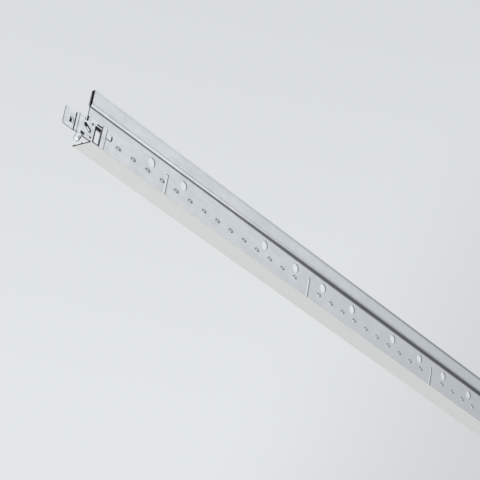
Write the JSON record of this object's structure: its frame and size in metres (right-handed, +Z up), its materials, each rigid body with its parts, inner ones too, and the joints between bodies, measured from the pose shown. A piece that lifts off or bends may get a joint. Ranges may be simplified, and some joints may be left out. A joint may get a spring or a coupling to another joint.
{
  "type": "ceiling grid main tee",
  "caption": "Long slim T-shaped steel runner for a suspended ceiling: hollow bulb on top, slotted and pierced web, white face on the flange, splice tongue at each end.",
  "frame": {"origin": "at mid-length, under the middle of the visible face", "axes": "+X along the stock, +Z up from the visible face to the bulb, +Y across the flange"},
  "size_m": [3.6974, 0.015, 0.038],
  "materials": {
    "galvanised_strip": "galvanised, satin",
    "painted_face": "matt white",
    "clip_steel": "plated, satin"
  },
  "bodies": {
    "root": {"tee_body": "galvanised_strip", "face_cap": "painted_face", "splice_clip_left": "clip_steel", "splice_clip_right": "clip_steel"}
  },
  "joints": []
}
